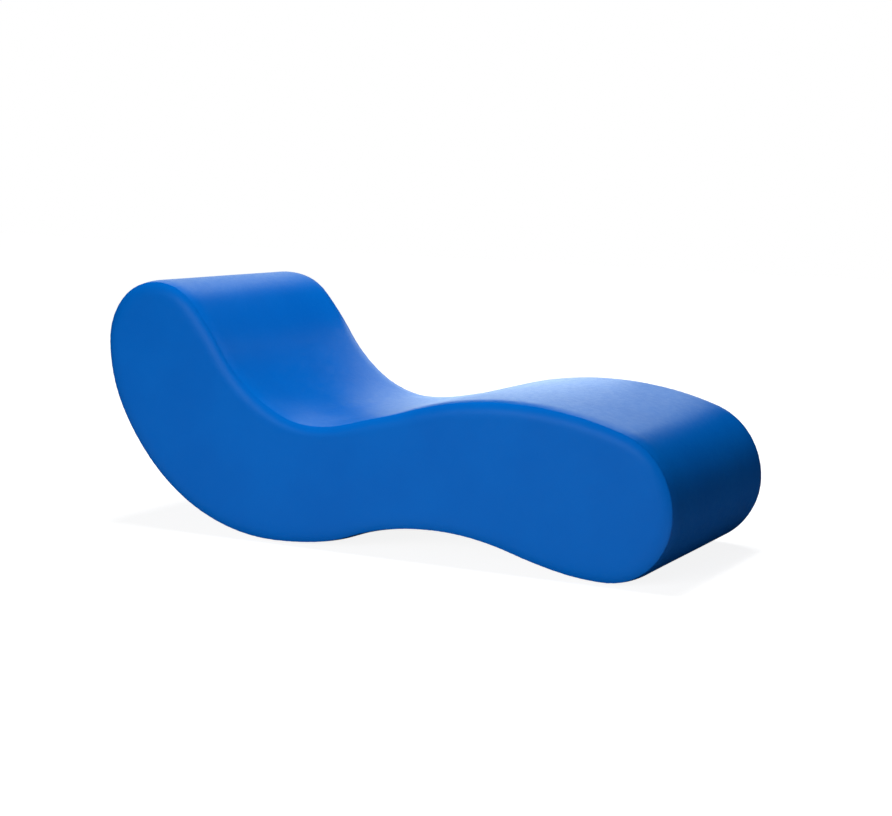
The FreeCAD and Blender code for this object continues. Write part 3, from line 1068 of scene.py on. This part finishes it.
def make_plywood(name, layered):
    """Birch plywood: long bands on the face, and layers counted across the board.

    For the ribs the layers follow Y. For the bent decks they are too thin to
    show from the face, so only the bands remain.
    """
    material, tree, place, output = new_material(name)
    figure = use_group(tree, wood_figure, {
        "Vector": scaled(tree, place, (0.12, 1.0, 1.0) if layered else (1.0, 0.12, 1.0)),
        "Bands per metre": 24.0,
    })
    colour = colour_mix(tree, figure["Band"], (0.62, 0.44, 0.26), (0.76, 0.59, 0.39))
    pore = math_node(tree, "MULTIPLY", figure["Pore"], 0.35)
    colour = colour_mix(tree, pore, colour, (0.42, 0.27, 0.14))
    height = figure["Pore"]
    if layered:
        parts = add(tree, "ShaderNodeSeparateXYZ", {"Vector": place})
        turns = math_node(tree, "MULTIPLY", parts.outputs["Y"], layers_per_metre * math.pi)
        wave = math_node(tree, "SINE", turns, 0.0)
        dark = ranged(tree, wave, -0.2, 0.2, 0.0, 0.22, smooth=True)
        colour = colour_mix(tree, dark, colour, (0.33, 0.20, 0.10))
        height = math_node(tree, "ADD", height, dark)
    principled(tree, output, {
        "Base Color": colour, "Roughness": ranged(tree, figure["Band"], 0.0, 1.0, 0.5, 0.62),
        "Normal": bumped(tree, height, 0.0002, 0.5),
    })
    return material


rib_plywood = make_plywood("plywood_ribs", True)
deck_plywood = make_plywood("plywood_decks", False)
print("plywood", rib_plywood.name, deck_plywood.name)

# %% [markdown]
# The rails are planed beech, which is plainer than plywood's face and is known
# by its short dark flecks. The wood's figure serves again, drawn out along Y,
# with closer bands and more pores.

# %% Beech material
def make_beech():
    """Planed beech along Y: close bands, and many short dark flecks."""
    material, tree, place, output = new_material("planed_beech")
    figure = use_group(tree, wood_figure, {
        "Vector": scaled(tree, place, (1.0, 0.1, 1.0)), "Bands per metre": 45.0,
    })
    colour = colour_mix(tree, figure["Band"], (0.55, 0.36, 0.21), (0.69, 0.49, 0.31))
    pore = math_node(tree, "MULTIPLY", figure["Pore"], 0.6)
    colour = colour_mix(tree, pore, colour, (0.36, 0.20, 0.11))
    principled(tree, output, {
        "Base Color": colour, "Roughness": ranged(tree, figure["Pore"], 0.0, 1.0, 0.48, 0.65),
        "Normal": bumped(tree, figure["Pore"], 0.0002, 0.4),
    })
    return material


beech = make_beech()
print("beech", beech.name)

# %% [markdown]
# The screws are steel with a thin coat of yellow zinc, and the glides are black
# moulded plastic. Scratches could be drawn with stretched noise, but they
# wouldn't show on pieces this small. Clouds in colour and gloss are enough to
# keep them from looking painted.

# %% Zinc and plastic materials
def make_zinc():
    """Yellow zinc on steel: a metal whose colour and gloss vary in small clouds."""
    material, tree, place, output = new_material("yellow_zinc")
    cloud = use_group(tree, clouds, {"Vector": place, "Clouds per metre": 300.0})
    colour = colour_mix(tree, cloud["Amount"], (0.66, 0.60, 0.42), (0.72, 0.72, 0.70))
    principled(tree, output, {
        "Base Color": colour, "Metallic": 1.0,
        "Roughness": ranged(tree, cloud["Amount"], 0.0, 1.0, 0.28, 0.42),
    })
    return material


def make_plastic():
    """Black moulded plastic: a fine spark-eroded surface, and light rubbed clouds."""
    material, tree, place, output = new_material("black_plastic")
    cloud = use_group(tree, clouds, {"Vector": place, "Clouds per metre": 90.0})
    grain = add(tree, "ShaderNodeTexNoise", {"Vector": place, "Scale": 2500.0, "Detail": 2.0})
    colour = colour_mix(tree, cloud["Amount"], (0.035, 0.035, 0.038), (0.05, 0.05, 0.055))
    principled(tree, output, {
        "Base Color": colour, "Roughness": ranged(tree, cloud["Amount"], 0.0, 1.0, 0.45, 0.6),
        "Normal": bumped(tree, grain.outputs["Fac"], 0.00005, 0.6),
    })
    return material


zinc = make_zinc()
black_plastic = make_plastic()
print("fittings", zinc.name, black_plastic.name)

# %% [markdown]
# ## Finishes for the solid pieces
# Ribs, rails, decks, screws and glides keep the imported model's own shapes. Each
# only gets the finish that its name calls for, by changing the material in its
# slots.

# %% Finishes by name
def finish_for(name):
    """The material of a solid piece, by the last word of its name."""
    kind = name.rsplit("_", 1)[-1]
    return {
        "rib": rib_plywood,
        "deck": deck_plywood,
        "rail": beech,
        "screws": zinc,
        "glide": black_plastic,
    }.get(kind)


dressed = 0
for name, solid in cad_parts.items():
    material = finish_for(name)
    if material is None:
        continue
    if not solid.material_slots:
        solid.data.materials.append(material)
    for slot in solid.material_slots:
        slot.material = material
    dressed += 1
print("solid pieces dressed", dressed)

# %% [markdown]
# ## Floor and background
# The picture shows the lounger cut out on pure white. So the floor has a glow
# that only the camera sees. Near the lounger the glow is a little weaker, and
# the lamps' own light on the floor makes up the rest, so a faint shadow stays.
# The floor throws soft light up under the foot end, as a pale floor does, but
# the foot end mirrors something dark there, so to glossy rays it is black.

# %% Floor
floor_grey = (0.32, 0.32, 0.32)
floor_pale = (0.35, 0.35, 0.35)
floor_half_width = 14.0
glow_near = 0.88
glow_starts = 1.2
glow_full = 3.0


def staged_sheet(name, corners, material):
    """A flat sheet with four corners, carrying this material."""
    mesh = bpy.data.meshes.new(name)
    mesh.from_pydata(corners, [], [(0, 1, 2, 3)])
    mesh.materials.append(material)
    sheet = bpy.data.objects.new(name, mesh)
    bpy.context.scene.collection.objects.link(sheet)
    return sheet


def white_to_the_eye(tree):
    """1 for rays of the camera and rays seen through glass, else 0."""
    path = tree.nodes.new("ShaderNodeLightPath")
    seen, through_glass = path.outputs["Is Camera Ray"], path.outputs["Is Transmission Ray"]
    return math_node(tree, "MAXIMUM", seen, through_glass)


def make_floor():
    """A wide, slightly uneven plane under the glides."""
    material, tree, place, output = new_material("studio_floor")
    material.cycles.emission_sampling = "NONE"
    cloud = use_group(tree, clouds, {"Vector": place, "Clouds per metre": 2.0})
    colour = colour_mix(tree, cloud["Amount"], floor_grey, floor_pale)
    mirrored = tree.nodes.new("ShaderNodeLightPath").outputs["Is Glossy Ray"]
    colour = colour_mix(tree, mirrored, colour, (0.0, 0.0, 0.0))
    matt = add(tree, "ShaderNodeBsdfDiffuse", {"Color": colour})
    reach = add(tree, "ShaderNodeVectorMath", operation="LENGTH")
    tree.links.new(place, reach.inputs[0])
    distance = reach.outputs["Value"]
    level = ranged(tree, distance, glow_starts, glow_full, glow_near, 1.0, smooth=True)
    strength = math_node(tree, "MULTIPLY", white_to_the_eye(tree), level)
    glow = add(tree, "ShaderNodeEmission", {"Color": (1, 1, 1, 1), "Strength": strength})
    both = tree.nodes.new("ShaderNodeAddShader")
    tree.links.new(matt.outputs[0], both.inputs[0])
    tree.links.new(glow.outputs[0], both.inputs[1])
    tree.links.new(both.outputs[0], output.inputs["Surface"])
    half = floor_half_width
    corners = [(-half, -half, 0), (half, -half, 0), (half, half, 0), (-half, half, 0)]
    return staged_sheet("floor", corners, material)


floor = make_floor()
print("floor", 2 * floor_half_width, "m wide")

# %% [markdown]
# What the cover mirrors is a white backdrop, close behind the lounger. It ends
# before the foot end, since the foot end mirrors black. A slanting black flag
# hangs before it behind the backrest, which keeps its deep blue except at the
# top and along the far edge. The camera need not see the backdrop, because the
# world is white to the camera, and it must not keep the lamps behind it from
# the lounger. So it is there for glossy rays alone.

# %% Backdrop
backdrop_distance = 0.7
backdrop_height = 1.7
backdrop_sides = (-2.4, 0.9)
backdrop_white = 0.95
backdrop_right = 0.58
backdrop_fade = 0.12
flag_bottom = 0.915
flag_left = -0.87
flag_right = 0.02
flag_bottom_slope = 1.33
flag_side_slope = 0.2
flag_fade = 0.16
flag_left_fade = 0.2
daylight = (0.77, 0.94, 1.0)


def make_backdrop():
    """An upright white sheet that fades out to the right, less the flag.

    Each edge of the flag is a slanting line, smoothly stepped: the height Z less
    a slope times the place along X, or the other way about.
    """
    material, tree, place, output = new_material("studio_backdrop")
    material.cycles.emission_sampling = "NONE"
    parts = add(tree, "ShaderNodeSeparateXYZ", {"Vector": place})
    along, high = parts.outputs["X"], parts.outputs["Z"]

    def edge(slope, line, middle, fade, first, second):
        """Steps from first to second where line less slope times the other passes middle."""
        other = high if line is along else along
        value = math_node(tree, "SUBTRACT", line, math_node(tree, "MULTIPLY", other, slope))
        return ranged(tree, value, middle - fade, middle + fade, first, second, smooth=True)

    lit = edge(0.0, along, backdrop_right, backdrop_fade, backdrop_white, 0.0)
    over = edge(flag_bottom_slope, high, flag_bottom, flag_fade, 0.0, 1.0)
    from_left = edge(flag_side_slope, along, flag_left, flag_left_fade, 0.0, 1.0)
    from_right = edge(flag_side_slope, along, flag_right, flag_fade, 1.0, 0.0)
    flag = math_node(tree, "MULTIPLY", over, math_node(tree, "MULTIPLY", from_left, from_right))
    strength = math_node(tree, "MULTIPLY", lit, math_node(tree, "SUBTRACT", 1.0, flag))
    glow = add(tree, "ShaderNodeEmission", {"Color": (*daylight, 1.0), "Strength": strength})
    clear = tree.nodes.new("ShaderNodeBsdfTransparent")
    mirrored = tree.nodes.new("ShaderNodeLightPath").outputs["Is Glossy Ray"]
    choice = add(tree, "ShaderNodeMixShader", {"Fac": mirrored})
    tree.links.new(clear.outputs[0], choice.inputs[1])
    tree.links.new(glow.outputs[0], choice.inputs[2])
    tree.links.new(choice.outputs[0], output.inputs["Surface"])
    left, right = backdrop_sides
    top = backdrop_height
    places = [(left, 0), (right, 0), (right, top), (left, top)]
    return staged_sheet("backdrop", [(x, backdrop_distance, z) for x, z in places], material)


backdrop = make_backdrop()
print("backdrop", backdrop_distance, "m behind the middle")

# %% [markdown]
# The world fills what the floor doesn't reach. Environment light could do all
# the lighting, but it would light every side alike and flatten the form. So to
# the eye the world is plain white, to the cover's sheen it is black, and for the
# rest it is a very low even light.

# %% World
ambient = 0.02


def make_world():
    """White to the eye, black to glossy rays, and a low even light for the rest."""
    world = bpy.data.worlds.new("studio")
    world.use_nodes = True
    tree = world.node_tree
    tree.nodes.clear()
    path = tree.nodes.new("ShaderNodeLightPath")
    even = ranged(tree, path.outputs["Is Glossy Ray"], 0.0, 1.0, ambient, 0.0)
    strength = math_node(tree, "MAXIMUM", white_to_the_eye(tree), even)
    sky = add(tree, "ShaderNodeBackground", {"Color": (1, 1, 1, 1), "Strength": strength})
    output = tree.nodes.new("ShaderNodeOutputWorld")
    tree.links.new(sky.outputs[0], output.inputs["Surface"])
    return world


bpy.context.scene.world = make_world()
print("world", bpy.context.scene.world.name, "with ambient light", ambient)

# %% [markdown]
# ## Lamps
# Each lamp stands on a sphere round the lounger, at a bearing counted from the
# front towards the foot end, and at a height in degrees. Strong lamps in front,
# above and behind, and a weak low one at the foot end, give the cover its even
# blue. The picture shows no highlight from them, as if they were polarised, so
# they are hidden from glossy rays. Two dim cards do show in the cover's sheen:
# one low behind the lounger, where the seat is brightest, and one in front,
# which lines the near edge.

# %% Softboxes
lamp_centre = np.array([0.0, 0.0, 0.3])


def softbox(name, bearing, height, distance, size, power, mirrored=False, aside=0.0):
    """An oval of light that faces the lounger. Its power is in watts.

    Where it isn't mirrored, only light that is aimed at it counts. Else rays
    scattered by the cover's colour would still bring home a little highlight.
    """
    bearing, height = np.radians([bearing, height])
    level = np.array([np.sin(bearing), -np.cos(bearing), 0.0]) * np.cos(height)
    away = level + np.array([0.0, 0.0, np.sin(height)])
    right = np.array([np.cos(bearing), np.sin(bearing), 0.0])
    data = bpy.data.lights.new(name, "AREA")
    data.shape = "ELLIPSE"
    data.size, data.size_y = size
    data.energy = power
    data.color = daylight if mirrored else (1.0, 1.0, 1.0)
    lamp = bpy.data.objects.new(name, data)
    bpy.context.scene.collection.objects.link(lamp)
    turned = np.eye(4)
    turned[:3, :3] = np.column_stack([right, np.cross(away, right), away])
    turned[:3, 3] = lamp_centre + away * distance + right * aside
    lamp.matrix_world = Matrix(turned.tolist())
    lamp.visible_camera = False
    lamp.visible_glossy = mirrored
    data.cycles.use_multiple_importance_sampling = mirrored
    return lamp


lamps = [
    softbox("front_lamp", 0, 8, 4.0, (2.6, 1.1), 101),
    softbox("top_lamp", 270, 86, 4.0, (1.6, 1.6), 138),
    softbox("back_lamp", 180, 60, 4.0, (1.8, 1.8), 73),
    softbox("foot_lamp", 90, -7, 1.6, (1.6, 0.16), 1.1),
    softbox("back_card", 180, 1.5, 0.69, (1.25, 0.63), 2.4, mirrored=True, aside=0.226),
    softbox("front_card", -5, 19, 4.0, (3.3, 1.3), 11.0, mirrored=True),
]
print("lamps", [lamp.name for lamp in lamps])

# %% Finish
bpy.context.scene.view_settings.view_transform = "Standard"
